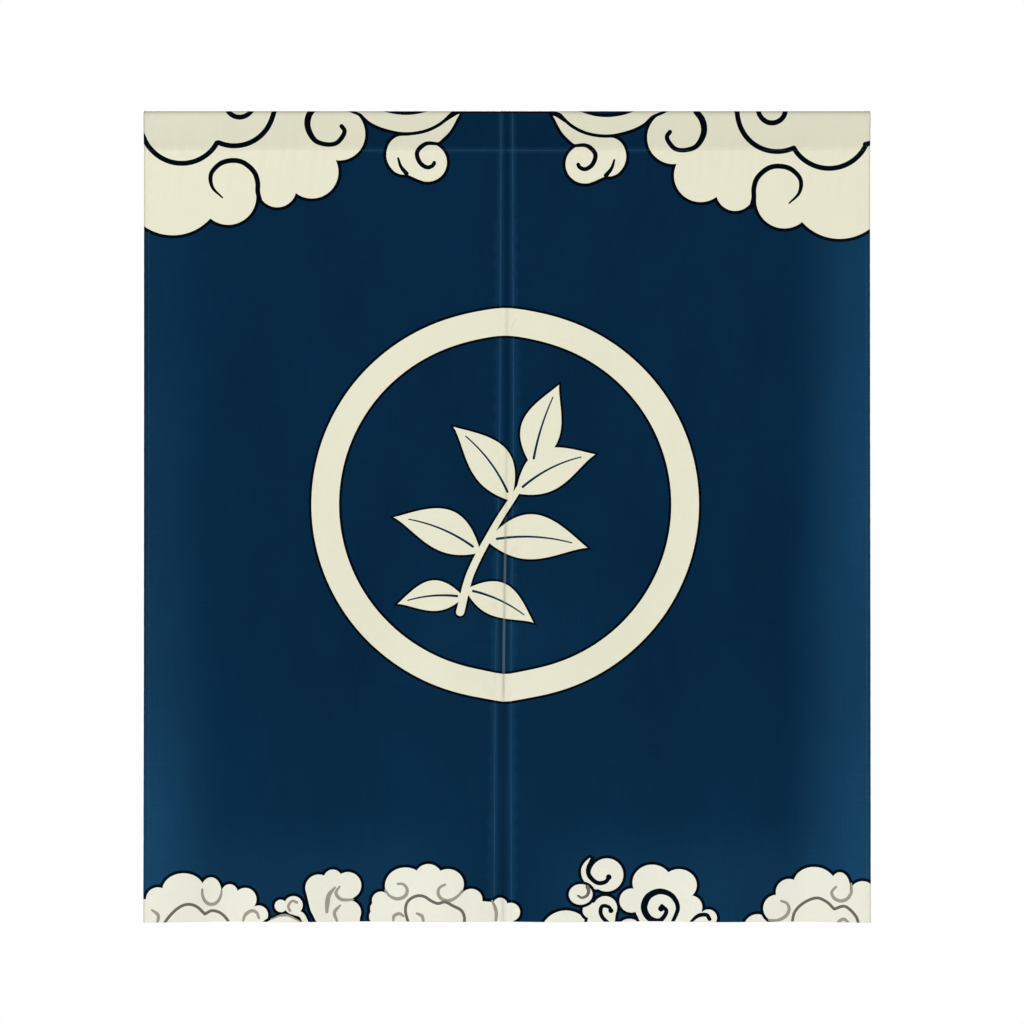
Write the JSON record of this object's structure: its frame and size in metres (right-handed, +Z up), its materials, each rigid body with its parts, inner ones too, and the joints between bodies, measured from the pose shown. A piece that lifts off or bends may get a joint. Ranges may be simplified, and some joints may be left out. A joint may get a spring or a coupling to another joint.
{
  "type": "door curtain",
  "caption": "Hanging cloth door curtain with a centre slit, hemmed edges and an empty rod sleeve along the top, printed with pale clouds, a ring and a leaf sprig on dark blue.",
  "frame": {"origin": "middle of the top edge, where the rod's sleeve hangs", "axes": "+Z up, -Y out of the printed face, +X to the right of a viewer who faces the print"},
  "size_m": [0.806, 0.0219, 0.9001],
  "materials": {
    "printed_cloth": "matt plain-weave canvas, dark blue print",
    "sleeve_cloth": "matt plain-weave canvas, dark blue print",
    "thread": "grey-blue sewing thread, satin"
  },
  "bodies": {
    "root": {"panel_left": "printed_cloth", "panel_right": "printed_cloth", "sleeve_left": "sleeve_cloth", "sleeve_right": "sleeve_cloth"}
  },
  "joints": []
}
